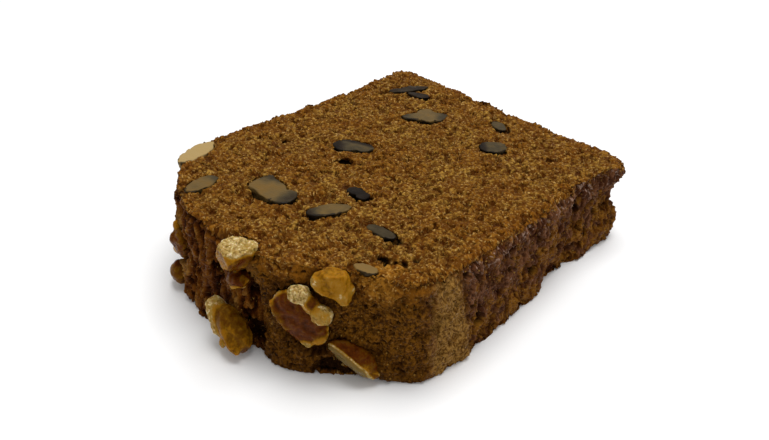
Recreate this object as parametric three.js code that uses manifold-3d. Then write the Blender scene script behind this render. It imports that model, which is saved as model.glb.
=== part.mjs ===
// A slice of banana bread with walnut pieces, lying on one of its two cut faces. Millimetres, +Z up.
// x runs across the loaf, y from the domed crown crust (negative) to the base crust (0), z through the slice.
import * as THREE from "three";
import { ImprovedNoise } from "three/addons/math/ImprovedNoise.js";
import { mergeVertices } from "three/addons/utils/BufferGeometryUtils.js";
import Module from "manifold-3d";

// The loaf, cut across
const loafHeight = 99.5;
const halfBase = 39.2;
const halfShoulder = 41.5;
const leftShoulder = 67;
const rightShoulder = 70;
const cornerReach = 5;
const domeWidth = 27;

// The slice, cut a little thicker at the crown than at the base
const baseThickness = 24.06;
const crownThickness = 30.58;

// The crumb's wall is a grid of this many columns and rows.
const wallColumns = 160;
const wallRows = 9;

// Features of the crust, with depths and widths in millimetres
const crevice = { x: 5.5, halfWidth: 2.1, depth: 3.6 };
const tornCrust = { from: -33, to: 6, depth: 1.1, strandWidth: 2.7, strandLength: 16 };
const sideFeatures = [
  { name: "groove", y: -21, halfWidth: 1.8, out: -2.1 },
  { name: "dent", y: -28.5, z: 0, halfWidth: 4.2, halfHeight: 8, out: -2.3 },
  { name: "corner notch", y: -4.5, z: 13.5, halfWidth: 4, halfHeight: 3, out: -1.6 },
  { name: "corner lip", y: -3.5, z: 22.5, halfWidth: 4, halfHeight: 5, out: 3.2 },
  { name: "corner foot", y: -5, z: 5, halfWidth: 6, halfHeight: 5.5, out: 2.4 },
];
const sag = { right: 17, left: -25, halfWidth: 12, depth: 2.3 };
const waveLength = 11;
const waveDepth = 0.6;
const lumpLength = 4.6;
const panRoughness = 0.75;
const domeRoughness = 0.4;

// Walnut pieces
const pocketGap = 0.3;
const bumpsAcross = 1.6;
const nutRoughness = 0.13;

// Holes in the crumb and pits in the crust
const scatterSeed = 11;
const holeRoughness = 0.25;
const upperHoleCount = 18;
const lowerHoleCount = 11;
const pitCount = 22;

const noise = new ImprovedNoise();
const random = THREE.MathUtils.seededRandom;
const radians = THREE.MathUtils.degToRad;
const wasm = await Module();
wasm.setup();

// Pieces baked into the crust. A lobe's x runs along the crust, y upwards and z outwards from it.
const crustNuts = [
  {
    at: [-26.3, -95.1, 15.8],
    heading: -24,
    lobes: [
      { at: [0.8, -1.6, 0], half: [2.9, 4.4, 2.3] },
      { at: [-1.2, 3.1, 0.4], half: [1.8, 2.5, 1.8] },
      { at: [0.3, -0.6, 1.7], half: [1.3, 2.4, 1.2] },
    ],
  },
  {
    at: [-27.6, -96.3, 4.2],
    heading: -24,
    lobes: [
      { at: [0.4, 0.2, 0], half: [2.9, 2.9, 2.6] },
      { at: [-1.4, -0.6, 0.8], half: [2.0, 2.2, 1.8] },
    ],
  },
  {
    at: [2.3, -99.3, 27.4],
    heading: 4,
    lobes: [
      { at: [0.3, 1.0, 0], half: [3.9, 3.5, 3.9], turn: -8, detail: 2 },
      { at: [-1.9, -0.3, 1.2], half: [2.1, 2.4, 2.3] },
      { at: [2.3, 1.9, -1.2], half: [2.2, 2.6, 3.4] },
    ],
  },
  {
    at: [2.2, -98.9, 21.2],
    heading: 4,
    lobes: [
      { at: [0, 0, 0], half: [2.8, 2.1, 2.5] },
      { at: [1.2, 0.4, 0.9], half: [1.6, 1.4, 1.6] },
    ],
  },
  {
    at: [-0.2, -101.6, 6.9],
    heading: -3,
    lobes: [
      { at: [1.0, -0.4, -0.4], half: [3.6, 6.3, 3.4], turn: 35, detail: 2 },
      { at: [-3.1, 1.0, 0.3], half: [2.3, 5.2, 2.7], turn: 24, detail: 2 },
      { at: [2.9, -1.0, 1.6], half: [1.5, 4.2, 1.7], turn: 40 },
    ],
  },
  {
    at: [17.1, -94.4, 16.1],
    heading: 31,
    lobes: [
      { at: [0.2, -0.2, 0], half: [5.7, 8.2, 2.3], turn: 30, detail: 2 },
      { at: [0.6, 7.6, 1.4], half: [2.7, 2.2, 2.1], turn: 10 },
      { at: [4.8, 4.5, 2.1], half: [4.1, 2.4, 2.2], turn: -38 },
    ],
  },
  {
    at: [24.0, -90.2, 26.3],
    heading: 36,
    lobes: [
      { at: [-0.4, 0.2, 0], half: [4.1, 4.3, 3.0], detail: 2 },
      { at: [2.3, -1.0, 0.5], half: [2.2, 2.7, 2.3] },
      { at: [-2.7, 1.5, 0.6], half: [1.9, 2.2, 1.9] },
    ],
  },
  {
    at: [26.8, -88.9, 5.8],
    heading: 34,
    lobes: [
      { at: [0.7, 0.4, 0], half: [6.6, 3.8, 2.9], turn: -36, detail: 2 },
      { at: [2.2, 0.5, 1.4], half: [3.6, 1.9, 1.7], turn: -36 },
    ],
    chips: [{ facing: [-0.55, -0.7, 0.45], reach: 2.3 }],
  },
];

// Pieces cut through by the knife. half[0] and half[1] are what shows in the cut face, half[2] the depth.
const upperNuts = [
  { at: [-36.7, -80.9], heading: 104, half: [6.5, 2.4, 4.2] },
  { at: [-23.3, -89.1], heading: 97, half: [4.7, 2.2, 3.0] },
  {
    at: [-10.5, -78.8],
    heading: 165,
    lobes: [
      { at: [0.6, 0, 0], half: [6.0, 4.3, 4.4], detail: 2 },
      { at: [-4.4, -1.6, 0], half: [2.8, 3.2, 3.0] },
    ],
  },
  { at: [5.6, -74.3], heading: 64, half: [5.5, 2.0, 3.2] },
  { at: [-12.6, -48.8], heading: 38, half: [5.1, 3.1, 3.8] },
  {
    at: [4.8, -64.2],
    heading: 17,
    lobes: [
      { at: [-0.8, 0.3, 0], half: [2.3, 1.6, 2.2] },
      { at: [1.4, -0.6, 0], half: [1.8, 1.5, 2.0] },
    ],
  },
  { at: [20.0, -71.8], heading: 4, half: [3.9, 1.4, 2.4] },
  {
    at: [-11.9, -21.3],
    heading: 52,
    lobes: [
      { at: [0, 0, 0], half: [6.6, 2.4, 3.4] },
      { at: [0.4, 0, 0], half: [3.0, 4.5, 3.2] },
    ],
  },
  { at: [-27.2, -11.8], heading: 62, half: [6.2, 1.4, 3.0] },
  { at: [-22.2, -12.4], heading: 22, half: [3.2, 1.3, 2.2] },
  { at: [12.2, -21.4], heading: 46, half: [3.5, 2.8, 3.0] },
  { at: [5.7, -10.3], heading: 159, half: [2.8, 1.6, 2.0] },
  { at: [27.4, -84.1], heading: 14, half: [2.9, 1.4, 1.9] },
];

// The underside is the other cut face, with pieces of the same kinds.
const lowerNuts = [
  { at: [-20, -70], heading: 25, half: [5.6, 3.4, 3.6] },
  { at: [15, -80], heading: 130, half: [4.6, 2.2, 3.0] },
  { at: [-24, -26], heading: 80, half: [4.2, 2.8, 3.0] },
  { at: [22, -38], heading: 10, half: [5.2, 2.4, 3.2] },
  { at: [4, -15], heading: 150, half: [3.4, 2.0, 2.4] },
];

// The larger holes of the upper cut face
const openHoles = [
  { at: [-7.9, -56.1], heading: 34, half: [2.1, 1.5, 1.6] },
  { at: [6.6, -79.4], heading: 36, half: [2.6, 1.0, 1.2] },
  { at: [29.6, -78.2], heading: 23, half: [3.3, 0.9, 1.5] },
];

function bell(distance, halfWidth) {
  return Math.exp(-((distance / halfWidth) ** 2));
}

function smooth(value, from, to) {
  return THREE.MathUtils.smoothstep(value, from, to);
}

// Height of the upper cut face, a plane
function knifeHeight(y) {
  return baseThickness - (y / loafHeight) * (crownThickness - baseThickness);
}

// Once round the loaf, anticlockwise from above
function loafOutline() {
  const path = new THREE.Path();
  path.moveTo(halfBase - cornerReach, 0);
  path.lineTo(cornerReach - halfBase, 0);
  path.quadraticCurveTo(-halfBase, 0, -halfBase, -cornerReach);
  path.bezierCurveTo(1.8 - halfBase, -30, 0.6 - halfShoulder, -46, 0.6 - halfShoulder, -leftShoulder);
  path.bezierCurveTo(0.6 - halfShoulder, -82, -35.5, -87.5, -domeWidth, -94.2);
  path.bezierCurveTo(-19, -98.8, -10, -loafHeight, 3, 0.8 - loafHeight);
  path.bezierCurveTo(17, -97.5, 22, -88, 31, -84.8);
  path.bezierCurveTo(38, -82.5, halfShoulder, -80, halfShoulder, -rightShoulder);
  path.bezierCurveTo(halfShoulder, -52, halfBase + 0.8, -28, halfBase, -cornerReach);
  path.quadraticCurveTo(halfBase, 0, halfBase - cornerReach, 0);
  return path;
}

// A feature of the right pan side, as a share of its depth: a strip at its y, and its height where it has one
function onRightSide(feature, x, y, z) {
  const across = bell(y - feature.y, feature.halfWidth) * smooth(x, 30, 36);
  return feature.halfHeight ? across * bell(z - feature.z, feature.halfHeight) : across;
}

// How far the crust stands out from the plain outline
function wallRelief(x, y, z) {
  const low = 1 - z / knifeHeight(y);
  const dome = smooth(-y, 78, 86);
  const { from, to, strandWidth, strandLength } = tornCrust;
  const torn = dome * smooth(x, from, from + 5) * (1 - smooth(x, to - 2, to));
  const strands = noise.noise(x / strandWidth, y / strandWidth, z / strandLength);
  const waves = noise.noise(x / waveLength, y / waveLength, z / waveLength);
  const lumps = noise.noise(x / lumpLength + 7, y / lumpLength, z / lumpLength);
  let out = waveDepth * waves + lumps * (dome * domeRoughness + (1 - dome) * panRoughness);
  out += torn * tornCrust.depth * (1.5 * strands + lumps - 0.35);
  const sagging = bell(x - sag.right, sag.halfWidth) + bell(x - sag.left, sag.halfWidth);
  out += sag.depth * low * low * dome * sagging;
  const creviceHeight = smooth(low, 0.02, 0.35) * smooth(z, -3, 5);
  out -= crevice.depth * bell(x - crevice.x, crevice.halfWidth) * dome * creviceHeight;
  for (const feature of sideFeatures) out += feature.out * onRightSide(feature, x, y, z);
  return out;
}

// A point of the wall, from the outline's column and the share of the height
function wallPoint(columns, column, share) {
  const place = columns[column];
  const before = columns[(column + wallColumns - 1) % wallColumns];
  const after = columns[(column + 1) % wallColumns];
  const along = after.clone().sub(before).normalize();
  const out = wallRelief(place.x, place.y, share * knifeHeight(place.y));
  return new THREE.Vector2(place.x + along.y * out, place.y - along.x * out);
}

// The whole crumb with its crust: a cylinder bent to the outline, its upper end on the knife's plane
function crumbGeometry() {
  const columns = loafOutline().getSpacedPoints(wallColumns);
  const middle = new THREE.Vector2(0, -loafHeight / 2);
  const geometry = new THREE.CylinderGeometry(1, 1, 1, wallColumns, wallRows);
  const position = geometry.attributes.position;
  for (let i = 0; i < position.count; i++) {
    const turn = Math.atan2(position.getX(i), position.getZ(i)) / (2 * Math.PI);
    const column = Math.round((turn + 1) * wallColumns) % wallColumns;
    const onWall = Math.hypot(position.getX(i), position.getZ(i)) > 0.5;
    const share = position.getY(i) + 0.5;
    const place = onWall ? wallPoint(columns, column, share) : middle;
    position.setXYZ(i, place.x, place.y, share * knifeHeight(place.y));
  }
  return geometry;
}

// A bumpy ellipsoid, grown by the given margin
function lobeGeometry({ at, half, turn = 0, detail = 1 }, margin, roughness) {
  const geometry = new THREE.IcosahedronGeometry(1, detail);
  const position = geometry.attributes.position;
  const point = new THREE.Vector3();
  for (let i = 0; i < position.count; i++) {
    point.fromBufferAttribute(position, i);
    const sample = point.clone().multiplyScalar(bumpsAcross).addScalar(3 * half[0] + 5 * half[1]);
    const bumps = noise.noise(sample.x, sample.y, sample.z);
    const grown = half.map((size) => size * (1 + roughness * bumps) + margin);
    position.setXYZ(i, point.x * grown[0], point.y * grown[1], point.z * grown[2]);
  }
  return geometry.rotateZ(radians(turn)).translate(...at);
}

// A box of the given side whose near face lies across the given direction, at the given reach
function beyond(direction, reach, side) {
  const turn = new THREE.Quaternion().setFromUnitVectors(new THREE.Vector3(0, 0, 1), direction);
  return new THREE.BoxGeometry(side, side, side).translate(0, 0, reach + side / 2).applyQuaternion(turn);
}

// The two blocks of air that the knife's planes bound
function knifeBlocks() {
  const tilt = Math.atan2(crownThickness - baseThickness, loafHeight);
  const up = new THREE.Vector3(0, Math.sin(tilt), Math.cos(tilt));
  const upper = beyond(up, baseThickness * Math.cos(tilt), 400);
  const lower = beyond(new THREE.Vector3(0, 0, -1), 0, 400);
  return [upper, lower];
}

function solidFrom(geometry) {
  const bare = new THREE.BufferGeometry().setAttribute("position", geometry.attributes.position);
  bare.setIndex(geometry.index);
  const merged = mergeVertices(bare);
  const vertProperties = merged.attributes.position.array;
  const triVerts = Uint32Array.from(merged.index.array);
  return new wasm.Manifold(new wasm.Mesh({ numProp: 3, vertProperties, triVerts }));
}

function geometryFrom(solid) {
  const { vertProperties, triVerts } = solid.getMesh();
  const geometry = new THREE.BufferGeometry();
  geometry.setAttribute("position", new THREE.BufferAttribute(vertProperties, 3));
  geometry.setIndex(new THREE.BufferAttribute(triVerts, 1));
  geometry.computeVertexNormals();
  return geometry;
}

// A walnut piece's lobes joined, in the frame that the matrix gives
function nutSolid(lobes, margin, matrix) {
  const shapes = lobes.map((lobe) => lobeGeometry(lobe, margin, nutRoughness).applyMatrix4(matrix));
  return shapes.map(solidFrom).reduce((whole, next) => whole.add(next));
}

// Cuts the given geometries away from a solid
function without(solid, cutters) {
  return cutters.reduce((rest, cutter) => rest.subtract(solidFrom(cutter)), solid);
}

// The parts of a piece beyond its broken faces
function chipBlocks({ chips = [] }) {
  return chips.map(({ facing, reach }) => beyond(new THREE.Vector3(...facing).normalize(), reach, 30));
}

// One walnut piece, chipped, and trimmed where the knife went through. Its pocket is kept for the crumb.
function nutMesh(name, nut, place, tilt, material) {
  const mesh = new THREE.Mesh(undefined, material);
  mesh.name = name;
  mesh.position.set(...place);
  mesh.rotation.set(tilt, 0, radians(nut.heading), "ZXY");
  mesh.updateMatrix();
  const intoPiece = mesh.matrix.clone().invert();
  const knives = knifeBlocks().map((block) => block.applyMatrix4(intoPiece));
  const lobes = nut.lobes ?? [{ at: [0, 0, 0], half: nut.half }];
  const whole = nutSolid(lobes, 0, new THREE.Matrix4());
  mesh.geometry = geometryFrom(without(whole, [...knives, ...chipBlocks(nut)]));
  mesh.userData.pocket = nutSolid(lobes, pocketGap, mesh.matrix);
  return mesh;
}

function skinMaterial() {
  return new THREE.MeshStandardMaterial({ color: "#a8742c", roughness: 0.45, metalness: 0 });
}

function cutNutMaterial() {
  return new THREE.MeshStandardMaterial({ color: "#8d8466", roughness: 0.5, metalness: 0 });
}

function crumbMaterial() {
  return new THREE.MeshStandardMaterial({ color: "#915d24", roughness: 0.85, metalness: 0 });
}

// A crust piece stands up on the wall; a piece in a cut face lies in that face.
function crustNutMeshes() {
  const standing = Math.PI / 2;
  const skin = skinMaterial();
  return crustNuts.map((nut, i) => nutMesh(`crust_walnut_${i + 1}`, nut, nut.at, standing, skin));
}

function cutNutMeshes(name, nuts, heightAt) {
  const cut = cutNutMaterial();
  return nuts.map((nut, i) => nutMesh(`${name}_${i + 1}`, nut, [...nut.at, heightAt(nut.at[1])], 0, cut));
}

// A hole of the crumb, opening at the given place
function holeGeometry(place, half, heading, detail) {
  const lobe = { at: [0, 0, 0], half, detail };
  return lobeGeometry(lobe, 0, holeRoughness).rotateZ(radians(heading)).translate(...place);
}

// Small holes scattered over a cut face, clear of its walnuts and of the crust
function scatteredHoles(count, nuts, heightAt) {
  const holes = [];
  while (holes.length < count) {
    const place = new THREE.Vector2((random() - 0.5) * 2 * halfBase, -random() * loafHeight);
    const size = 0.8 + random() * 0.8;
    const heading = random() * 180;
    const clear = nuts.every((nut) => place.distanceTo(new THREE.Vector2(...nut.at)) > 8.5);
    const inside = Math.hypot(place.x / halfBase, (place.y + 45) / (loafHeight / 2)) < 0.95;
    if (!clear || !inside) continue;
    const half = [size * 1.4, size, size];
    holes.push(holeGeometry([place.x, place.y, heightAt(place.y)], half, heading, 0));
  }
  return holes;
}

// Pits in the crust of the pan sides, which lie between the base corners and the dome
function wallPits(count) {
  const outline = loafOutline();
  const pits = [];
  while (pits.length < count) {
    const place = outline.getPointAt(random());
    const height = 3 + random() * 20;
    const size = 0.9 + random() * 1.1;
    if (place.y < -78 || place.y > -cornerReach) continue;
    pits.push(holeGeometry([place.x, place.y, height], [size, size * 1.2, size * 1.3], 0, 0));
  }
  return pits;
}

function crumbMesh(nutMeshes) {
  random(scatterSeed);
  const cutters = [
    ...openHoles.map(({ at, half, heading }) => holeGeometry([...at, knifeHeight(at[1])], half, heading, 1)),
    ...scatteredHoles(upperHoleCount, upperNuts, knifeHeight),
    ...scatteredHoles(lowerHoleCount, lowerNuts, () => 0),
    ...wallPits(pitCount),
  ];
  const crumb = solidFrom(crumbGeometry());
  const pocketed = nutMeshes.reduce((rest, nut) => rest.subtract(nut.userData.pocket), crumb);
  const bodies = without(pocketed, cutters).decompose();
  bodies.sort((a, b) => b.volume() - a.volume());
  const mesh = new THREE.Mesh(geometryFrom(bodies[0]), crumbMaterial());
  mesh.name = "crumb";
  return mesh;
}

// The origin goes to the middle of the underside.
function centred(group) {
  const box = new THREE.Box3().setFromObject(group, true);
  const middle = box.getCenter(new THREE.Vector3());
  group.position.set(-middle.x, -middle.y, -box.min.z);
  return group;
}

const nutMeshes = [
  ...crustNutMeshes(),
  ...cutNutMeshes("upper_walnut", upperNuts, knifeHeight),
  ...cutNutMeshes("lower_walnut", lowerNuts, () => 0),
];
const slice = new THREE.Group();
slice.add(crumbMesh(nutMeshes), ...nutMeshes);

export default centred(slice);
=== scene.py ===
import math

import bpy
import numpy as np
from mathutils import Matrix, Vector


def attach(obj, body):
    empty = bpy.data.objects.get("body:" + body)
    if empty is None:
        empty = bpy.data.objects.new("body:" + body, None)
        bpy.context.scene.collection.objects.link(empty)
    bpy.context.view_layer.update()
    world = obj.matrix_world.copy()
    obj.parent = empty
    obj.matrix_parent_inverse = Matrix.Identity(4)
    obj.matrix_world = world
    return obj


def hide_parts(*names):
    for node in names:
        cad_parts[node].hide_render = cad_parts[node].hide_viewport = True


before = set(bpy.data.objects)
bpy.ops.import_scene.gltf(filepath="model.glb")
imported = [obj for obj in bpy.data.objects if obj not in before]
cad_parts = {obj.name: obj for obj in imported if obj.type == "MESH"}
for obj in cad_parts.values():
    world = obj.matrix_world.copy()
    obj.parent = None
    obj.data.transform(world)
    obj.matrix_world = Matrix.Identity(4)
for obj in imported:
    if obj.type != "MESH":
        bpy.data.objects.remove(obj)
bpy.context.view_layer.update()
mm = 0.001

# The slice in the row frame: y runs from the crown crust to the base crust, z up through the slice
loafSlice = {
    "origin": Vector((-0.356, 51.857, 0)) * mm,  # the middle of the base crust, on the floor
    "height": 99.5 * mm,
    "baseThickness": 24.06 * mm,
    "crownThickness": 30.58 * mm,
}


def pickOnly(piece):
    bpy.ops.object.select_all(action="DESELECT")
    piece.select_set(True)
    bpy.context.view_layer.objects.active = piece


def applyModifier(piece, kind, **settings):
    modifier = piece.modifiers.new(kind.lower(), kind)
    for name, value in settings.items():
        setattr(modifier, name, value)
    pickOnly(piece)
    bpy.ops.object.modifier_apply(modifier=modifier.name)


def setInputs(tree, node, inputs):
    for socket, value in inputs.items():
        if isinstance(value, bpy.types.NodeSocket):
            tree.links.new(value, node.inputs[socket])
        else:
            node.inputs[socket].default_value = value


def addNode(tree, kind, inputs=None, **settings):
    made = tree.nodes.new(kind)
    for name, value in settings.items():
        setattr(made, name, value)
    setInputs(tree, made, inputs or {})
    return made


def calc(tree, operation, *values):
    return addNode(tree, "ShaderNodeMath", dict(enumerate(values)), operation=operation).outputs[0]


def times(tree, value, factor):
    return calc(tree, "MULTIPLY", value, factor)


def sumOf(tree, *terms):  # of values, each times its amount
    total = 0.0
    for value, amount in terms:
        total = calc(tree, "MULTIPLY_ADD", value, amount, total)
    return total


def stretched(tree, place, factors):
    return addNode(tree, "ShaderNodeVectorMath", {0: place, 1: factors}, operation="MULTIPLY").outputs[0]


def noiseOf(tree, place, size, detail=2.0, roughness=0.5, output="Fac"):
    inputs = {"Vector": place, "Scale": 1 / (size * mm), "Detail": detail, "Roughness": roughness}
    return addNode(tree, "ShaderNodeTexNoise", inputs).outputs[output]


def waveOf(tree, *noise):  # noise that swings about 0
    return calc(tree, "SUBTRACT", noiseOf(tree, *noise), 0.5)


def step(tree, value, low, high, atLow=0.0, atHigh=1.0):
    inputs = {"Value": value, "From Min": low, "From Max": high, "To Min": atLow, "To Max": atHigh}
    return addNode(tree, "ShaderNodeMapRange", inputs, interpolation_type="SMOOTHSTEP").outputs[0]


def poresOf(tree, place, spacing, share, widest):  # cells that far apart in mm, of which a share is open
    cells = addNode(tree, "ShaderNodeTexVoronoi", {"Vector": place, "Scale": 1 / (spacing * mm)})
    draw = addNode(tree, "ShaderNodeSeparateXYZ", {0: cells.outputs["Color"]}).outputs[0]
    radius = step(tree, draw, 1 - share, 1.0, 0.001, widest / spacing)
    return step(tree, cells.outputs["Distance"], radius, 0.0)


def between(tree, share, low, high):
    return addNode(tree, "ShaderNodeMix", {0: share, 2: low, 3: high}).outputs[0]


def mixed(tree, share, low, high):  # the same for colours
    return addNode(tree, "ShaderNodeMix", {0: share, 6: low, 7: high}, data_type="RGBA").outputs[2]


def layered(tree, surface, *layers):  # from the bottom up, each as its share and its colour
    for share, shade in layers:
        surface = mixed(tree, share, surface, shade)
    return surface


def rampOf(tree, value, stops):  # the stops are (position, colour), from the lowest up
    ramp = addNode(tree, "ShaderNodeValToRGB", {0: value})
    made = ramp.color_ramp.elements
    made[0].position, made[0].color = stops[0]
    made[1].position, made[1].color = stops[-1]
    for position, shade in stops[1:-1]:
        made.new(position).color = shade
    return ramp.outputs[0]


def bumpOf(tree, height, strength, distance):
    inputs = {"Strength": strength, "Distance": distance * mm, "Height": height}
    return addNode(tree, "ShaderNodeBump", inputs).outputs[0]


def colour(red, green, blue):
    return (red, green, blue, 1.0)


# Lengths are in mm, unless they are times mm
# A band's mark is full at the first number and gone at the second, or the reverse where it begins
bread = {
    "voxel": 0.37 * mm,
    "mostTriangles": 196000,
    "smoothSteps": 3,
    "outlineSectors": 180,
    "wallSlopes": (0.45, 0.9),  # how far the surface faces up or down
    "wallBand": (4.5, 6.5),  # in from the outline
    "dome": (74.5, 80.0),  # from the base crust up, where the crown's crust begins
    "tornFrom": (-33.0, -27.0),  # x, where the torn crust begins
    "tornTo": (3.0, 9.0),
    "shoulder": (66.5, 71.5),  # from the base crust up, where it begins
    "shoulderTop": 26.0,
    "shoulderLean": 0.2,  # how much further it reaches for each mm down
    "panSide": (30.0, 36.0),  # x, where the right pan side begins
    "crestBand": (1.0, 9.0),  # below the upper cut face
    "lowBand": (2.0, 13.0),  # above the floor
    "rimBand": (0.5, 9.0),  # in from the outline
    "brinkBand": (0.5, 3.0),  # below the upper cut face, and in from the outline
    "floorBand": (0.2 * mm, 2 * mm),
    "upperFace": (20.0, 23.0),  # z, where the marks of the upper cut face begin
    "brinkDepth": 1.1,  # the worn edge between the cut face and the wall
    "collarBand": (0.3, 2.6),  # of the dough that clings to the walnuts of the crust, painted with shade next to them
    "gapSide": (0.69, -0.72),  # the side of the walnuts where the crumb has shrunk away, sunk and darkened there with painted shade
    "gapSideBand": (0.1, 0.6),  # towards that side, where the gap begins
    "gapInner": (-0.9, 0.0),  # out from a walnut's edge, where its gap begins
    "gapOuter": (0.5, 1.5),
    "spotBand": (0.3, 1.25),  # in a spot's radii
    "mostLift": 5.0,
    # Hollows in the dome, sunk and darkened with painted shade, as x, z and radius
    "shadedHollows": [
        (5, 5, 3.4), (5.5, 17, 2.6), (23.5, 1.5, 4.6), (20.5, 7.5, 2.2), (-6.6, 18.5, 2.0), (20, 24, 2.0),
    ],
    # Where crumb shows on the dome, and where a paler patch of painted light lies on it, as x, z and radius
    "bare": [(30.5, 26, 4.8), (24, 27.5, 2.5), (13, 28.5, 3.6), (35, 28, 2.8)],
    "paler": [(31, 26.5, 4.6)],
    # Holes in the cut face, sunk and darkened with painted shade, as x, y and radius
    "holes": [
        (-8.9, -55.4, 1.5), (-4.5, -54.0, 1.0), (32.5, -73.9, 1.2), (-27.0, -60.0, 1.0), (21.8, -79.1, 1.0),
        (26.9, -79.1, 1.1), (28.3, -78.7, 1.2), (29.8, -78.0, 1.3), (31.4, -77.0, 1.2),
    ],
    # On the right pan side, as y, z and radius: pits, sunk and darkened with painted shade, then golden
    # patches
    "pits": [
        (-39.7, 10.2, 1.9), (-55.4, 22.2, 1.2), (-62.9, 22.6, 1.5), (-64.3, 14.8, 1.4), (-61.5, 9.2, 2.0),
        (-70.4, 15.6, 1.3), (-34.1, 20.1, 1.1), (-38.6, 18.9, 1.4), (-20.3, 17.5, 1.7), (-19.1, 5.5, 1.6),
        (-50.5, 17.0, 1.2), (-48.0, 25.5, 1.1), (-67.5, 25.5, 1.1), (-10.5, 12.5, 1.5),
    ],
    "golden": [
        (-31, 12, 5.0), (-19, 11, 3.6), (-5, 9, 5.0), (-46, 5, 4.2), (-68, 29, 2.2), (-44, 13, 2.6),
    ],
    # How far out each texture lifts the surface
    "relief": {
        "cut": {"shadedTrough": -0.8, "hole": -1.5, "grain": 0.8, "lump": 0.9, "hill": 1.3, "ragged": -1.3},
        "pan": {
            "grain": 0.45, "crag": 1.6, "hill": 1.8, "pock": -0.7, "strand": 2.2, "tear": -0.9, "pitted": -1.5,
        },
        "dome": {
            "grain": 0.45, "crag": 3.6, "hill": 1.0, "nick": -0.9, "strand": 0.8, "crack": -0.7, "sunk": -1.9,
            "clinging": 0.9,
        },
        "torn": {"grain": 0.3, "crag": 2.8, "tear": -1.7, "strand": 3.2, "sunk": -1.2, "clinging": 0.9},
    },
}


def smoothstep(value, low, high):
    share = np.clip((value - low) / (high - low), 0, 1)
    return share * share * (3 - 2 * share)


def fading(value, full, gone):
    return 1 - smoothstep(value, full, gone)


def meshArrays(piece):
    count = len(piece.data.vertices)
    place = np.zeros(count * 3, np.float32)
    normal = np.zeros(count * 3, np.float32)
    piece.data.vertices.foreach_get("co", place)
    piece.data.vertex_normals.foreach_get("vector", normal)
    return place.reshape(-1, 3), normal.reshape(-1, 3)


def setAttribute(piece, name, values):
    layer = piece.data.attributes.get(name) or piece.data.attributes.new(name, "FLOAT", "POINT")
    layer.data.foreach_set("value", np.asarray(values, np.float32))


def insideOutline(loaf):  # how far in from the loaf's outline, by the furthest point in each direction
    middle = np.array([0, -loafSlice["height"] / mm / 2])
    around = np.arctan2(loaf[:, 1] - middle[1], loaf[:, 0] - middle[0])
    reach = np.hypot(loaf[:, 0] - middle[0], loaf[:, 1] - middle[1])
    sectors = bread["outlineSectors"]
    sector = ((around + math.pi) / (2 * math.pi) * sectors).astype(int) % sectors
    furthest = np.zeros(sectors)
    np.maximum.at(furthest, sector, reach)
    return furthest[sector] - reach


def spotsOn(along, height, spots):  # 1 in the middle of a spot, 0 outside it
    shade = np.zeros(len(along))
    for middle, level, radius in spots:
        away = np.hypot(along - middle, height - level) / radius
        shade = np.maximum(shade, fading(away, *bread["spotBand"]))
    return shade


def lobeSpace(place, whole, lobe):  # the places as seen from a lobe, where it is a ball of radius 1
    points = np.c_[place, np.ones(len(place))]
    return (points @ np.array((whole @ lobeMatrix(lobe)).inverted()).T)[:, :3]


def collarRound(place):  # near the walnuts of the crust
    collar = np.zeros(len(place))
    for nut in crustNuts.values():
        whole = nutMatrix(nut, nut["at"][2] * mm, True)
        for lobe in nut["lobes"]:
            beyond = (np.linalg.norm(lobeSpace(place, whole, lobe), axis=1) - 1) * min(lobe["half"])
            collar = np.maximum(collar, fading(beyond, *bread["collarBand"]))
    return collar


def gapsBeside(loaf):  # beside the walnuts of the cut face, where the crumb has shrunk away from them, sunk and darkened with painted shade
    gaps = np.zeros(len(loaf))
    flat = np.c_[loaf[:, :2], np.zeros(len(loaf))] * mm + np.array(loafSlice["origin"])
    for nut in upperNuts.values():
        whole = nutMatrix(nut, 0.0, False)
        for lobe in lobesOf(nut):
            local = lobeSpace(flat, whole, lobe)
            beyond = (np.hypot(local[:, 0], local[:, 1]) - 1) * min(lobe["half"][:2])
            away = loaf[:, :2] - np.array(nut["at"])
            side = (away @ np.array(bread["gapSide"])) / np.maximum(np.hypot(away[:, 0], away[:, 1]), 0.1)
            near = smoothstep(beyond, *bread["gapInner"]) * fading(beyond, *bread["gapOuter"])
            gaps = np.maximum(gaps, near * smoothstep(side, *bread["gapSideBand"]) * nut.get("gap", 1.0))
    return gaps * smoothstep(loaf[:, 2], *bread["upperFace"])


def markBread(piece):
    place, normal = meshArrays(piece)
    loaf = (place - np.array(loafSlice["origin"])) / mm
    x, y, z = loaf.T
    inward = insideOutline(loaf)
    below = knifeHeight(y) / mm - z
    wall = fading(abs(normal[:, 2]), *bread["wallSlopes"]) * fading(inward, *bread["wallBand"])
    dome = smoothstep(-y, *bread["dome"])
    leaning = -y + bread["shoulderLean"] * (bread["shoulderTop"] - z)
    pan = smoothstep(x, *bread["panSide"])
    holes = spotsOn(x, y, bread["holes"]) * smoothstep(z, *bread["upperFace"])
    marks = {
        "wall": wall,
        "dome": dome,
        "torn": dome * smoothstep(x, *bread["tornFrom"]) * fading(x, *bread["tornTo"]),
        "shoulder": smoothstep(leaning, *bread["shoulder"]) * (1 - dome),
        "crest": wall * fading(below, *bread["crestBand"]),
        "low": wall * fading(z, *bread["lowBand"]),
        "rim": fading(inward, *bread["rimBand"]),
        "brink": fading(below, *bread["brinkBand"]) * fading(inward, *bread["brinkBand"]),
        "collar": wall * collarRound(place),
        "pits": spotsOn(y, z, bread["pits"]) * pan,
        "golden": spotsOn(y, z, bread["golden"]) * pan,
        "hollow": spotsOn(x, z, bread["shadedHollows"]) * dome,
        "bare": spotsOn(x, z, bread["bare"]) * dome,
        "paler": spotsOn(x, z, bread["paler"]) * dome,
        "gap": np.maximum(gapsBeside(loaf), holes),
        "under": fading(place[:, 2], *bread["floorBand"]),
    }
    for name, values in marks.items():
        setAttribute(piece, name, values)


def named(tree, name):
    return addNode(tree, "GeometryNodeInputNamedAttribute", {"Name": name}, data_type="FLOAT").outputs[0]


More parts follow.
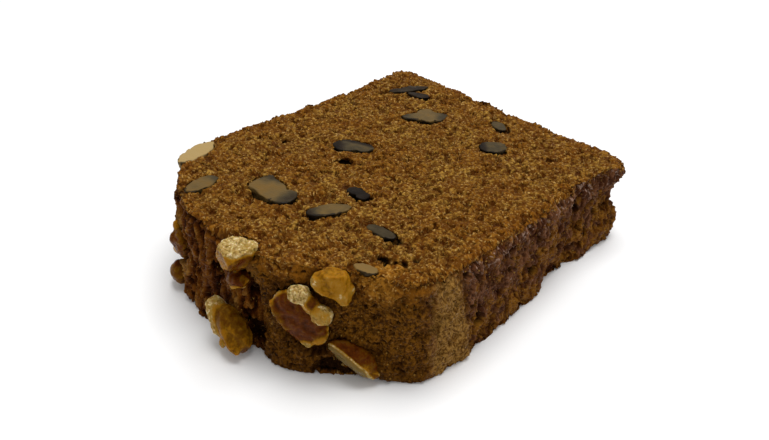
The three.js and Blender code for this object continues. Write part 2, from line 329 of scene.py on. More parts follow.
def stored(tree, geometry, name, value, kind="FLOAT"):
    inputs = {"Geometry": geometry, "Name": name, "Value": value}
    return addNode(tree, "GeometryNodeStoreNamedAttribute", inputs, data_type=kind).outputs[0]


def newRelief(name):
    tree = bpy.data.node_groups.new(name, "GeometryNodeTree")
    tree.interface.new_socket("Geometry", in_out="INPUT", socket_type="NodeSocketGeometry")
    tree.interface.new_socket("Geometry", in_out="OUTPUT", socket_type="NodeSocketGeometry")
    return tree, addNode(tree, "NodeGroupInput").outputs[0], addNode(tree, "NodeGroupOutput").inputs[0]


def raised(tree, geometry, out):  # moved out by so many mm, and never below the floor
    normal = addNode(tree, "GeometryNodeInputNormal").outputs[0]
    place = addNode(tree, "GeometryNodeInputPosition").outputs[0]
    height = times(tree, out, mm)
    height = addNode(tree, "ShaderNodeCombineXYZ", {0: height, 1: height, 2: height}).outputs[0]
    inputs = {0: normal, 1: height, 2: place}
    moved = addNode(tree, "ShaderNodeVectorMath", inputs, operation="MULTIPLY_ADD").outputs[0]
    inputs = {0: moved, 1: (-1.0, -1.0, 0.0)}  # the part is far smaller than a metre, so x and y stay
    moved = addNode(tree, "ShaderNodeVectorMath", inputs, operation="MAXIMUM").outputs[0]
    return addNode(tree, "GeometryNodeSetPosition", {"Geometry": geometry, "Position": moved}).outputs[0]


def wandering(tree, place, size, reach):  # the place, led astray by up to half the reach in mm
    inputs = {0: noiseOf(tree, place, size, 1, output="Color"), 1: (0.5, 0.5, 0.5)}
    wander = addNode(tree, "ShaderNodeVectorMath", inputs, operation="SUBTRACT").outputs[0]
    inputs = {0: wander, 1: (reach * mm,) * 3, 2: place}
    return addNode(tree, "ShaderNodeVectorMath", inputs, operation="MULTIPLY_ADD").outputs[0]


def reliefOf(tree, texture, amounts):
    return sumOf(tree, *((texture[name], amount) for name, amount in amounts.items()))


def crumbTexture(tree, place):
    warped = wandering(tree, place, 1.6, 1.2)
    troughs = noiseOf(tree, warped, 2.3, 3, 0.62)
    grains = addNode(tree, "ShaderNodeTexVoronoi", {"Vector": warped, "Scale": 1 / (0.95 * mm)})
    return {
        "shadedTrough": step(tree, troughs, 0.47, 0.37),
        "hole": poresOf(tree, warped, 4.6, 0.42, 1.3),
        "grain": calc(tree, "SUBTRACT", 0.42, grains.outputs["Distance"]),
        "lump": waveOf(tree, place, 2.4, 1),
        "hill": waveOf(tree, place, 7.0, 1),
    }


def cracksOf(tree, place):  # short level cracks, here and there
    level = stretched(tree, wandering(tree, place, 3.0, 2.0), (0.6, 0.6, 1.3))
    folds = waveOf(tree, level, 2.6, 2)
    line = step(tree, calc(tree, "ABSOLUTE", folds), 0.035, 0.01)
    return times(tree, line, step(tree, noiseOf(tree, place, 2.8, 1), 0.51, 0.59))


def crustTexture(tree, place):
    warped = wandering(tree, place, 2.0, 1.6)
    upright = stretched(tree, warped, (1.0, 1.0, 0.24))
    tears = waveOf(tree, upright, 3.2, 2)
    return {
        "strand": waveOf(tree, upright, 1.5, 3, 0.65),
        "tear": step(tree, calc(tree, "ABSOLUTE", tears), 0.07, 0.0),
        "pock": step(tree, noiseOf(tree, warped, 2.2, 3, 0.6), 0.43, 0.35),
        "nick": poresOf(tree, warped, 1.5, 0.4, 0.5),
        "crag": waveOf(tree, warped, 3.4, 4, 0.66),
        "bite": step(tree, noiseOf(tree, warped, 5.0, 2), 0.50, 0.40),
        "crack": cracksOf(tree, place),
    }


def breadRelief():
    tree, start, end = newRelief("breadRelief")
    place = addNode(tree, "GeometryNodeInputPosition").outputs[0]
    wall, torn, dome, shoulder, pits, gap, brink, collar, hollow, bare, under = (
        named(tree, name)
        for name in "wall torn dome shoulder pits gap brink collar hollow bare under".split())
    texture = {**crumbTexture(tree, place), **crustTexture(tree, place)}
    crag = texture["crag"]
    ragged = step(tree, calc(tree, "MULTIPLY_ADD", texture["lump"], 1.6, gap), 0.45, 0.75)
    texture["ragged"] = times(tree, ragged, step(tree, gap, 0.0, 0.3))
    sunk = step(tree, calc(tree, "MULTIPLY_ADD", crag, 1.0, hollow), 0.2, 0.8)
    texture["sunk"] = times(tree, sunk, step(tree, hollow, 0.0, 0.3))
    texture["clinging"] = times(tree, collar, calc(tree, "MULTIPLY_ADD", crag, 3.0, 0.5))
    texture["pitted"] = step(tree, calc(tree, "MULTIPLY_ADD", texture["lump"], 1.2, pits), 0.35, 0.8)
    bitten = times(tree, texture["bite"], calc(tree, "MULTIPLY_ADD", torn, 2.4, 0.6))
    worn = times(tree, brink, sumOf(tree, (crag, 5.0), (bitten, 1.0), (1.0, 0.9)))

    cutOut, panOut, domeOut, tornOut = (
        reliefOf(tree, texture, bread["relief"][part]) for part in ("cut", "pan", "dome", "torn"))
    crumbly = calc(tree, "SUBTRACT", 1.0, calc(tree, "MAXIMUM", dome, shoulder))
    wallOut = between(tree, crumbly, domeOut, panOut)
    wallOut = between(tree, torn, wallOut, tornOut)
    crusty = times(tree, wall, calc(tree, "MULTIPLY_ADD", brink, -0.7, 1.0))
    crusty = times(tree, crusty, calc(tree, "MULTIPLY_ADD", bare, -0.6, 1.0))
    out = between(tree, crusty, cutOut, wallOut)
    out = calc(tree, "MULTIPLY_ADD", worn, -bread["brinkDepth"], out)
    out = calc(tree, "MINIMUM", out, calc(tree, "MULTIPLY_ADD", under, -bread["mostLift"], bread["mostLift"]))

    geometry = stored(tree, start, "home", place, "FLOAT_VECTOR")
    geometry = stored(tree, geometry, "height", out)
    geometry = stored(tree, geometry, "gap", texture["ragged"])
    geometry = stored(tree, geometry, "pits", texture["pitted"])
    geometry = stored(tree, geometry, "hollow", texture["sunk"])
    tree.links.new(raised(tree, geometry, out), end)
    return tree


def wear(piece, material):
    piece.data.materials.clear()
    piece.data.materials.append(material)


def makeBread():
    piece = bpy.data.objects.new("banana_bread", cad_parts["crumb"].data.copy())
    bpy.context.scene.collection.objects.link(piece)
    pickOnly(piece)
    bpy.ops.object.mode_set(mode="EDIT")
    bpy.ops.mesh.select_all(action="SELECT")
    bpy.ops.mesh.remove_doubles(threshold=0.01 * mm)
    bpy.ops.object.mode_set(mode="OBJECT")
    applyModifier(piece, "REMESH", mode="VOXEL", voxel_size=bread["voxel"])
    applyModifier(piece, "SMOOTH", factor=0.5, iterations=bread["smoothSteps"])
    markBread(piece)
    applyModifier(piece, "NODES", node_group=breadRelief())
    applyModifier(piece, "DECIMATE", ratio=bread["mostTriangles"] / 2 / len(piece.data.polygons))
    place = meshArrays(piece)[0]
    place[:, 2] = np.maximum(place[:, 2], 0)  # the decimation leaves some points below the floor
    piece.data.vertices.foreach_set("co", place.ravel())
    piece.data.update()
    bpy.ops.object.shade_smooth()
    wear(piece, breadMaterial())
    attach(piece, "root")
    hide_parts("crumb")
    print("bread", sum(len(face.vertices) - 2 for face in piece.data.polygons), "triangles")
    return piece


def attributeOf(tree, name, output="Fac"):
    made = addNode(tree, "ShaderNodeAttribute", attribute_name=name, attribute_type="GEOMETRY")
    return made.outputs[output]


def newMaterial(name):
    material = bpy.data.materials.new(name)
    material.use_nodes = True
    return material, material.node_tree, material.node_tree.nodes["Principled BSDF"]


breadColours = {
    "grainDeep": colour(0.120, 0.039, 0.0020),
    "grainLight": colour(0.358, 0.193, 0.0310),
    "grainRed": colour(0.185, 0.064, 0.0042),
    "grainEdgeShade": colour(0.060, 0.014, 0.0010),
    "rim": colour(0.225, 0.080, 0.0060),
    "speckAndGlint": colour(0.49, 0.295, 0.085),
    "pepper": colour(0.050, 0.011, 0.0008),
    "drift": colour(0.070, 0.017, 0.0010),
    "shadedTrough": colour(0.044, 0.008, 0.0006),
    "hole": colour(0.038, 0.006, 0.0005),
    "gap": colour(0.006, 0.003, 0.002),
    "domeDeep": colour(0.034, 0.010, 0.0008),
    "domeLight": colour(0.182, 0.070, 0.0056),
    "domeRed": colour(0.200, 0.070, 0.0050),
    "domeLow": colour(0.040, 0.012, 0.0012),
    "domeCragShade": colour(0.022, 0.006, 0.0008),
    "domeNickShade": colour(0.010, 0.002, 0.0004),
    "shoulderDeep": colour(0.090, 0.034, 0.004),
    "shoulderLight": colour(0.330, 0.172, 0.040),
    "shoulderNickShade": colour(0.035, 0.012, 0.001),
    "purpleDeep": colour(0.046, 0.013, 0.0045),
    "purpleLightAndSheen": colour(0.184, 0.074, 0.031),
    "goldDeep": colour(0.095, 0.028, 0.003),
    "goldLight": colour(0.235, 0.098, 0.012),
    "panTearShade": colour(0.034, 0.006, 0.0009),
    "panPockShade": colour(0.022, 0.004, 0.0008),
    "panPitShade": colour(0.010, 0.002, 0.0006),
    "glint": colour(0.42, 0.28, 0.21),
    "tornShade": colour(0.045, 0.009, 0.001),
    "tornHighlight": colour(0.230, 0.086, 0.0075),
    "hollow": colour(0.007, 0.0015, 0.0004),
    "collar": colour(0.024, 0.006, 0.0008),
    "crustSpeckAndGlint": colour(0.34, 0.18, 0.050),
    "pale": colour(0.44, 0.190, 0.020),
    "glossTint": colour(1.0, 0.66, 0.32),
    # From the crevices, darkened with painted shade, up to the strands' tops
    "tornStrandsAndShade": [
        (0.08, colour(0.009, 0.0016, 0.0005)),
        (0.42, colour(0.068, 0.015, 0.0014)),
        (0.68, colour(0.175, 0.056, 0.0045)),
        (0.95, colour(0.30, 0.145, 0.030)),
    ],
}


def breadMaterial():
    material, tree, shader = newMaterial("bread")
    tint = breadColours
    place = attributeOf(tree, "home", "Vector")
    wall, dome, torn, shoulder, crest, low, rim, pits = (
        attributeOf(tree, name) for name in "wall dome torn shoulder crest low rim pits".split())
    golden, gap, height, collar, hollow, brink, bare, paler = (
        attributeOf(tree, name) for name in "golden gap height collar hollow brink bare paler".split())
    crumb = crumbTexture(tree, place)
    crust = crustTexture(tree, place)
    mottle = noiseOf(tree, place, 1.0, 3, 0.65)
    patches = noiseOf(tree, place, 8.0, 2)
    drifts = noiseOf(tree, place, 3.0, 2)
    grainy = noiseOf(tree, place, 0.75, 3, 0.65)
    specksAndGlints = noiseOf(tree, place, 0.55, 2)
    pepper = noiseOf(tree, stretched(tree, place, (1.0, 1.0, 0.6)), 0.75, 2)

    # The cut face: golden olive grains, with reddish-brown painted shade between them and in troughs, holes
    # and gaps
    cut = layered(
        tree, mixed(tree, step(tree, mottle, 0.37, 0.63), tint["grainDeep"], tint["grainLight"]),
        (step(tree, patches, 0.42, 0.58, 0.0, 0.55), tint["grainRed"]),
        (times(tree, rim, 0.7), tint["rim"]),
        (step(tree, crumb["grain"], 0.08, -0.22, 0.0, 0.68), tint["grainEdgeShade"]),
        # painted glints: the light specks, partly the crumb's own tan flecks
        (step(tree, specksAndGlints, 0.57, 0.71, 0.0, 0.85), tint["speckAndGlint"]),
        (step(tree, pepper, 0.41, 0.31, 0.0, 0.6), tint["pepper"]),
        (step(tree, drifts, 0.50, 0.34, 0.0, 0.35), tint["drift"]),
        (times(tree, crumb["shadedTrough"], 0.75), tint["shadedTrough"]),
        (times(tree, crumb["hole"], 0.88), tint["hole"]),
        (times(tree, gap, 0.95), tint["gap"]),
    )

    # The crown's crust: olive brown, redder under the top edge, with painted shade in its crags, nicks and
    # cracks
    crown = layered(
        tree, mixed(tree, step(tree, grainy, 0.35, 0.65), tint["domeDeep"], tint["domeLight"]),
        (times(tree, step(tree, drifts, 0.35, 0.55), times(tree, crest, 0.9)), tint["domeRed"]),
        (times(tree, low, 0.35), tint["domeLow"]),
        (step(tree, crust["crag"], -0.02, -0.16, 0.0, 0.7), tint["domeCragShade"]),
        (times(tree, calc(tree, "MAXIMUM", crust["nick"], crust["crack"]), 0.9), tint["domeNickShade"]),
    )

    # The shoulders: golden, with painted shade in the nicks
    sandy = mixed(tree, step(tree, grainy, 0.36, 0.62), tint["shoulderDeep"], tint["shoulderLight"])
    sandy = mixed(tree, times(tree, crust["nick"], 0.8), sandy, tint["shoulderNickShade"])
    sandyShare = step(tree, calc(tree, "MULTIPLY_ADD", crust["crag"], 1.8, shoulder), 0.25, 0.85)
    crown = mixed(tree, sandyShare, crown, sandy)

    # The pan sides: purplish brown above with a painted sheen, golden where the crumb shows, painted shade
    # nearly black in the pits
    gold = mixed(tree, step(tree, mottle, 0.35, 0.65), tint["goldDeep"], tint["goldLight"])
    goldShare = sumOf(tree, (golden, 0.7), (low, 0.35), (crest, -0.3), (drifts, 3.2))
    pan = layered(
        tree, mixed(tree, step(tree, crust["strand"], -0.15, 0.2), tint["purpleDeep"], tint["purpleLightAndSheen"]),
        (step(tree, goldShare, 1.55, 2.0), gold),
        # painted shade in the tears, pocks and pits
        (times(tree, crust["tear"], 0.75), tint["panTearShade"]),
        (times(tree, crust["pock"], 0.7), tint["panPockShade"]),
        (times(tree, pits, 0.9), tint["panPitShade"]),
        (times(tree, step(tree, pepper, 0.56, 0.67), times(tree, crest, 0.75)), tint["glint"]),
    )

    # The torn crust: tan strands over crevices dark with painted shade, with painted highlights near the top
    # edge
    crestHighlight = times(tree, step(tree, drifts, 0.40, 0.55), times(tree, crest, 0.6))
    strands = layered(
        tree, rampOf(tree, step(tree, height, -1.7, 1.2), tint["tornStrandsAndShade"]),
        (step(tree, mottle, 0.35, 0.62, 0.0, 0.5), tint["tornShade"]),
        (times(tree, crestHighlight, step(tree, height, -1.0, 0.4)), tint["tornHighlight"]),
    )

    crustColour = layered(
        tree, pan,
        (calc(tree, "MAXIMUM", dome, shoulder), crown),
        (torn, strands),
        # painted shade in the hollows
        (times(tree, hollow, 0.88), tint["hollow"]),
        # painted shade where the dough meets the walnuts
        (step(tree, collar, 0.7, 1.0, 0.0, 0.5), tint["collar"]),
        # painted glints: light specks on the crust
        (step(tree, specksAndGlints, 0.63, 0.77, 0.0, 0.35), tint["crustSpeckAndGlint"]),
    )
    crusty = sumOf(tree, (wall, 1.0), (crust["crag"], 2.6), (brink, -0.85), (bare, -1.0))
    # painted light: a paler patch on the dome
    pale = step(tree, calc(tree, "MULTIPLY_ADD", drifts, 1.5, paler), 0.9, 1.7, 0.0, 0.55)
    surface = layered(
        tree, cut,
        (step(tree, crusty, 0.2, 0.8), crustColour),
        (times(tree, pale, step(tree, mottle, 0.35, 0.6)), tint["pale"]),
    )
    fine = sumOf(tree, (crumb["grain"], 0.5), (mottle, 0.8), (specksAndGlints, 0.6), (crumb["shadedTrough"], -0.4))
    setInputs(tree, shader, {
        "Base Color": surface,
        "Roughness": step(tree, specksAndGlints, 0.45, 0.65, 0.7, 0.3),
        "Specular IOR Level": 0.06,
        "Specular Tint": tint["glossTint"],
        "Normal": bumpOf(tree, fine, 1.0, 0.7),
    })
    return material


walnut = {
    "voxel": 0.26 * mm,
    "ballSteps": 4,
    "smoothSteps": 3,
    "swell": 0.62,
    "creaseDepth": 0.15,
    "wrinkleHeight": 0.55,
    "flakeHeight": 0.75,
    "spread": 0.2,  # how far the cut pieces reach into the crumb's gap round them
    "knifeFrom": 22 * mm,  # only pieces that reach this high meet the knife above
    # A band's tone begins at the first number and is full at the second, unless it ends there
    "outlineBand": (0.90, 0.99),  # of a lobe, for its edge tone
    "lobeContrast": 9,
    "chipBand": (-0.6, -0.3),  # out to a chip's plane
    "rimBand": (-1.1, -0.75),
    "rimEnd": (-0.6, -0.35),  # ends
    "capBand": (0.4, 1.3),  # ends, below the upper cut face
    "darkEnd": (0.25, 0.85),
    "darkShare": 0.45,
    "cutEdge": (0.8, 1.0),  # of a cut lobe, for its dark edge of skin, partly painted shade
    "shrunkTo": -46,  # the heading of the side where the crumb has come away, where the dark edge is painted shade
    "shrunkBand": (0.0, 0.6),
    "edgeElsewhere": 0.35,
}

# tone: 0 is reddish-brown skin, 0.5 amber, 1 cream; edge: the tone along a lobe's outline, a pale rim partly
# painted reflection
crustNuts = {
    "crust_walnut_1": {
        "at": (-26.3, -95.1, 15.8), "heading": -24,
        "lobes": [
            {"at": (0.8, -1.6, 0), "half": (2.9, 4.4, 2.3), "tone": 0.3},
            {"at": (-1.2, 3.1, 0.4), "half": (1.8, 2.5, 1.8), "tone": 0.55},
            {"at": (-0.6, -3.4, 1.2), "half": (1.7, 2.2, 1.3), "tone": 0.68},
            {"at": (0.3, -0.6, 1.7), "half": (1.3, 2.4, 1.2), "tone": 0.25},
        ],
        "chips": [{"facing": (-0.9, 0.35, 0.35), "reach": 2.1}],
    },
    "crust_walnut_2": {
        "at": (-27.6, -96.3, 4.2), "heading": -24,
        "lobes": [
            {"at": (0.4, 0.2, 0), "half": (2.9, 2.9, 2.6), "tone": 0.32},
            {"at": (-1.4, -0.6, 0.8), "half": (2.0, 2.2, 1.8), "tone": 0.38, "edge": 0.6},
            {"at": (0.2, 2.4, 0.2), "half": (1.3, 1.7, 1.2), "tone": 0.1},
        ],
    },
    "crust_walnut_3": {
        "at": (2.3, -99.3, 27.4), "heading": 4, "cap": 0.9,
        "lobes": [
            {"at": (0.3, 1.0, 0), "half": (4.2, 3.5, 4.1), "turn": -8, "tone": 0.5},
            {"at": (-1.9, -0.3, 1.2), "half": (2.1, 2.4, 2.3), "tone": 0.55},
            {"at": (-2.0, -2.0, 1.6), "half": (1.3, 1.6, 1.3), "tone": 0.66},
            {"at": (2.3, 1.9, -1.2), "half": (2.2, 2.6, 3.4), "tone": 0.5},
        ],
        "chips": [
            {"facing": (-0.25, -0.1, 1.0), "reach": 3.1},
            {"facing": (0.85, -0.5, 0.3), "reach": 3.0, "tone": 0.3},
        ],
    },
    "crust_walnut_4": {
        "at": (2.2, -98.9, 21.2), "heading": 4,
        "lobes": [
            {"at": (0, 0, 0), "half": (2.8, 2.1, 2.5), "tone": 0.2, "edge": 0.75},
            {"at": (1.2, 0.4, 0.9), "half": (1.6, 1.4, 1.6), "tone": 0.15},
            {"at": (0.0, -1.5, 1.2), "half": (2.0, 0.8, 1.2), "turn": 25, "tone": 0.75},
        ],
    },
    "crust_walnut_5": {
        "at": (-0.2, -101.6, 6.9), "heading": -3,
        "lobes": [
            {"at": (1.2, -0.5, -0.4), "half": (3.4, 6.3, 3.5), "turn": 33, "tone": 0.38},
            {"at": (-2.9, 0.9, 0.5), "half": (2.1, 5.6, 2.9), "turn": 26, "tone": 0.82},
            {"at": (2.9, -1.0, 1.9), "half": (1.3, 4.2, 1.6), "turn": 38, "tone": 0.46},
            {"at": (-0.9, 0.3, 1.1), "half": (1.2, 4.6, 1.5), "turn": 29, "tone": 0.1},
            {"at": (0.4, -3.3, 2.6), "half": (1.0, 1.5, 1.0), "turn": 20, "tone": 0.75},
        ],
    },
    "crust_walnut_6": {
        "at": (17.1, -94.4, 16.1), "heading": 31,
        "lobes": [
            {"at": (0.2, -0.2, 0), "half": (5.7, 8.2, 2.3), "turn": 30, "tone": 0.18, "edge": 0.7},
            {"at": (-3.9, -0.6, 0.6), "half": (1.0, 5.6, 1.7), "turn": 26, "tone": 0.33},
            {"at": (0.6, 7.6, 1.4), "half": (2.7, 2.2, 2.1), "turn": 10, "tone": 0.9},
            {"at": (2.2, 5.5, 1.9), "half": (1.2, 2.6, 1.3), "turn": 35, "tone": 0.7},
            {"at": (5.6, 3.6, 2.1), "half": (2.6, 2.3, 2.2), "turn": -38, "tone": 0.68, "edge": 0.9},
            {"at": (3.2, 6.0, 1.6), "half": (2.2, 1.6, 1.4), "turn": -38, "tone": 0.25},
            {"at": (1.7, -6.4, 1.2), "half": (1.5, 1.1, 1.1), "tone": 0.8},
            {"at": (4.4, -5.0, 1.0), "half": (1.9, 1.2, 1.1), "turn": 30, "tone": 0.62},
        ],
        "chips": [{"facing": (-0.12, -0.1, 1.0), "reach": 2.9}],
    },
    "crust_walnut_7": {
        "at": (24.0, -90.2, 26.3), "heading": 36, "cap": 0.5,
        "lobes": [
            {"at": (-0.4, 0.2, 0), "half": (4.3, 4.4, 3.1), "tone": 0.56},
            {"at": (2.3, -1.2, 0.5), "half": (2.5, 3.0, 2.4), "tone": 0.58},
            {"at": (-2.9, 1.5, 0.6), "half": (1.9, 2.2, 1.9), "tone": 0.68},
        ],
        "chips": [
            {"facing": (0.95, 0.05, 0.35), "reach": 3.3},
            {"facing": (-0.5, -0.8, 0.35), "reach": 2.6},
            {"facing": (0.1, 0.1, 1.0), "reach": 1.9},
        ],
    },
    "crust_walnut_8": {
        "at": (26.8, -88.9, 5.8), "heading": 34,
        "lobes": [
            {"at": (0.7, 0.4, 0), "half": (6.6, 3.8, 2.9), "turn": -36, "tone": 0.24},
            {"at": (1.2, 1.2, 1.6), "half": (2.6, 1.5, 1.5), "turn": -36, "tone": 0.22},
            {"at": (3.6, -0.5, 1.7), "half": (1.9, 1.6, 1.6), "turn": -30, "tone": 0.46},
            {"at": (5.0, -2.4, 1.0), "half": (2.0, 1.0, 1.2), "turn": -20, "tone": 0.3, "edge": 0.85},
        ],
        "chips": [{"facing": (-0.46, -0.42, 0.79), "reach": 1.3, "tone": 0.44, "edge": 0.92, "olive": 1.0}],
    },
}

# shade: 0 is black skin, 0.5 grey, 0.8 olive, 1 tan; cream: its share of cream
# dark: the headings of its dark ends; gap: how much of a sunk gap, darkened with painted shade, is beside it
upperNuts = {
    "upper_walnut_1": {
        "at": (-36.7, -80.9), "heading": 104, "half": (6.5, 2.4, 4.2), "shade": 1.0, "cream": 0.8, "gap": 0.3,
    },
    "upper_walnut_2": {
        "at": (-23.3, -89.1), "heading": 97, "half": (4.7, 2.2, 3.0), "shade": 0.88,
        "dark": (89,), "gap": 0.6,
    },
    "upper_walnut_3": {
        "at": (-10.5, -78.8), "heading": 165, "shade": 0.85, "dark": (120, 10),
        "lobes": [
            {"at": (0.6, 0.2, 0), "half": (5.4, 4.0, 4.4)},
            {"at": (-4.4, -1.6, 0), "half": (2.8, 3.2, 3.0)},
            {"at": (4.6, -1.2, 0), "half": (2.2, 2.2, 3.0)},
        ],
        "chips": [{"facing": (-0.2, 1.0, 0), "reach": 3.1}, {"facing": (0.95, 0.3, 0), "reach": 5.3}],
    },
    "upper_walnut_4": {
        "at": (5.6, -74.3), "heading": 64, "half": (5.5, 2.0, 3.2), "shade": 0.75, "dark": (244,),
    },
    "upper_walnut_5": {
        "at": (-12.6, -48.8), "heading": 38, "shade": 0.56, "dark": (224, 110),
        "lobes": [
            {"at": (-1.6, 0.2, 0), "half": (3.6, 2.9, 3.8)},
            {"at": (2.2, -0.3, 0), "half": (3.2, 2.1, 3.0)},
        ],
    },
    "upper_walnut_6": {
        "at": (4.8, -64.2), "heading": 17, "shade": 0.1,
        "lobes": [
            {"at": (-0.8, 0.3, 0), "half": (2.3, 1.6, 2.2)},
            {"at": (1.4, -0.6, 0), "half": (1.8, 1.5, 2.0)},
        ],
    },
    "upper_walnut_7": {"at": (20.0, -71.8), "heading": 4, "half": (3.9, 1.4, 2.4), "shade": 0.42},
    "upper_walnut_8": {
        "at": (-11.9, -21.3), "heading": 52, "shade": 0.82, "dark": (52, 232),
        "lobes": [
            {"at": (0, 0, 0), "half": (6.4, 1.9, 3.4)},
            {"at": (0.6, 0.3, 0), "half": (2.7, 3.9, 3.2)},
            {"at": (3.4, -1.2, 0), "half": (2.2, 1.9, 2.4)},
        ],
    },
    "upper_walnut_9": {"at": (-27.2, -11.8), "heading": 62, "half": (6.2, 1.4, 3.0), "shade": 0.33},
    "upper_walnut_10": {"at": (-22.2, -12.4), "heading": 22, "half": (3.2, 1.3, 2.2), "shade": 0.25},
    "upper_walnut_11": {
        "at": (12.2, -21.4), "heading": 46, "half": (3.5, 2.8, 3.0), "shade": 0.52, "dark": (224,),
    },
    "upper_walnut_12": {"at": (5.7, -10.3), "heading": 159, "half": (2.8, 1.6, 2.0), "shade": 0.52},
    "upper_walnut_13": {
        "at": (27.4, -84.1), "heading": 14, "half": (2.9, 1.4, 1.9), "shade": 1.0, "cream": 0.12, "gap": 0.3,
    },
}

lowerNuts = {
    "lower_walnut_1": {"at": (-20, -70), "heading": 25, "half": (5.6, 3.4, 3.6), "shade": 0.9, "dark": (25,)},
    "lower_walnut_2": {
        "at": (15, -80), "heading": 130, "half": (4.6, 2.2, 3.0), "shade": 0.55, "dark": (130,),
    },
    "lower_walnut_3": {"at": (-24, -26), "heading": 80, "half": (4.2, 2.8, 3.0), "shade": 1.0, "cream": 0.3},
    "lower_walnut_4": {
        "at": (22, -38), "heading": 10, "half": (5.2, 2.4, 3.2), "shade": 0.45, "dark": (190,),
    },
    "lower_walnut_5": {"at": (4, -15), "heading": 150, "half": (3.4, 2.0, 2.4), "shade": 0.8},
}


def knifeHeight(y):  # of the upper cut face, at y mm from the base crust
    share = -y * mm / loafSlice["height"]
    return loafSlice["baseThickness"] + share * (loafSlice["crownThickness"] - loafSlice["baseThickness"])


def turnOf(degrees, axis):
    return Matrix.Rotation(math.radians(degrees), 4, axis)


def nutMatrix(nut, height, standing):
    place = Vector((nut["at"][0] * mm, nut["at"][1] * mm, height)) + loafSlice["origin"]
    upright = turnOf(90 if standing else 0, "X")
    return Matrix.Translation(place) @ turnOf(nut["heading"], "Z") @ upright


def lobesOf(nut):
    return nut.get("lobes") or [{"at": (0, 0, 0), "half": nut["half"]}]


def lobeMatrix(lobe, grown=0.0):
    place = Matrix.Translation(Vector(lobe["at"]) * mm)
    half = (Vector(lobe["half"]) + Vector((grown, grown, grown))) * mm
    return place @ turnOf(lobe.get("turn", 0), "Z") @ Matrix.Diagonal((*half, 1))


def nutTexture(tree, place):
    folds = waveOf(tree, place, 4.6, 1)
    return {
        "crease": step(tree, calc(tree, "ABSOLUTE", folds), 0.06, 0.0),
        "swell": waveOf(tree, place, 2.8, 1),
        "flake": waveOf(tree, place, 0.9, 3, 0.65),
        "wrinkle": waveOf(tree, place, 1.3, 2),
    }


def nutForm():  # the kernel's folds
    tree, start, end = newRelief("nutForm")
    place = addNode(tree, "GeometryNodeInputPosition").outputs[0]
    texture = nutTexture(tree, place)
    out = sumOf(tree, (texture["swell"], walnut["swell"] * 2), (texture["wrinkle"], walnut["wrinkleHeight"]),
                (texture["crease"], -walnut["creaseDepth"]))
    tree.links.new(raised(tree, start, out), end)
    return tree


def nutSkin():  # flakes on the broken, pale places and fine wrinkles on the skin
    tree, start, end = newRelief("nutSkin")
    place = addNode(tree, "GeometryNodeInputPosition").outputs[0]
    texture = nutTexture(tree, place)
    flaky = step(tree, named(tree, "tone"), 0.6, 0.9, 0.08, 1.0)
    out = times(tree, texture["flake"], times(tree, flaky, walnut["flakeHeight"]))
    geometry = stored(tree, start, "home", place, "FLOAT_VECTOR")
    tree.links.new(raised(tree, geometry, out), end)
    return tree


nutTrees = {"form": nutForm(), "skin": nutSkin()}


def sliceOff(piece, point, facing):  # cuts away what lies beyond a plane, and closes the face
    pickOnly(piece)
    bpy.ops.object.mode_set(mode="EDIT")
    bpy.ops.mesh.select_all(action="SELECT")
    bpy.ops.mesh.bisect(plane_co=point, plane_no=facing, use_fill=True, clear_outer=True)
    bpy.ops.mesh.quads_convert_to_tris()
    bpy.ops.object.mode_set(mode="OBJECT")


def joinedLobes(name, whole, lobes, grown):
    bpy.ops.object.select_all(action="DESELECT")
    made = []
    for lobe in lobes:
        bpy.ops.mesh.primitive_ico_sphere_add(subdivisions=walnut["ballSteps"], radius=1)
        ball = bpy.context.object
        ball.matrix_world = whole @ lobeMatrix(lobe, grown)
        made.append(ball)
    for ball in made:
        ball.select_set(True)
    bpy.context.view_layer.objects.active = made[0]
    if len(made) > 1:
        bpy.ops.object.join()
    bpy.ops.object.transform_apply(location=True, rotation=True, scale=True)
    piece = bpy.context.object
    piece.name = "nut_" + name
    applyModifier(piece, "REMESH", mode="VOXEL", voxel_size=walnut["voxel"])
    return piece


def knifeCut(piece):
    tilt = math.atan2(loafSlice["crownThickness"] - loafSlice["baseThickness"], loafSlice["height"])
    top = loafSlice["origin"] + Vector((0, 0, loafSlice["baseThickness"]))
    height = meshArrays(piece)[0][:, 2]
    if height.max() > walnut["knifeFrom"]:
        sliceOff(piece, top, (0, math.sin(tilt), math.cos(tilt)))
    if height.min() < 0:
        sliceOff(piece, (0, 0, 0), (0, 0, -1))


def beyondChip(place, chip, whole):  # how far past a chip's plane, in mm
    facing = Vector(chip["facing"]).normalized()
    point = np.array(whole @ (facing * chip["reach"] * mm))
    return (place - point) @ np.array(whole.to_3x3() @ facing) / mm


def paintCrustNut(piece, nut, whole):
    place = meshArrays(piece)[0]
    total = np.zeros(len(place))
    tone = np.zeros(len(place))
    olive = np.zeros(len(place))
    for lobe in nut["lobes"]:
        local = lobeSpace(place, whole, lobe)
        weight = np.exp(-walnut["lobeContrast"] * np.linalg.norm(local, axis=1))
        outline = smoothstep(np.hypot(local[:, 0], local[:, 1]), *walnut["outlineBand"])
        total += weight
        # toward the outline, the edge tone: a pale rim that is partly painted reflection
        tone += weight * (lobe["tone"] + (lobe.get("edge", lobe["tone"]) - lobe["tone"]) * outline)
    tone /= total
    for chip in nut.get("chips", ()):
        beyond = beyondChip(place, chip, whole)
        onChip = smoothstep(beyond, *walnut["chipBand"])
        if "tone" in chip:
            tone += (chip["tone"] - tone) * onChip
        # a pale line along the chip's rim, partly painted reflection
        if "edge" in chip:
            onRim = smoothstep(beyond, *walnut["rimBand"])
            tone += (chip["edge"] - tone) * onRim * fading(beyond, *walnut["rimEnd"])
        olive = np.maximum(olive, chip.get("olive", 0.0) * onChip)
    if "cap" in nut:
        below = (knifeHeight((place[:, 1] - loafSlice["origin"].y) / mm) - place[:, 2]) / mm
        tone += (nut["cap"] - tone) * fading(below, *walnut["capBand"])
    setAttribute(piece, "tone", tone)
    setAttribute(piece, "olive", olive)


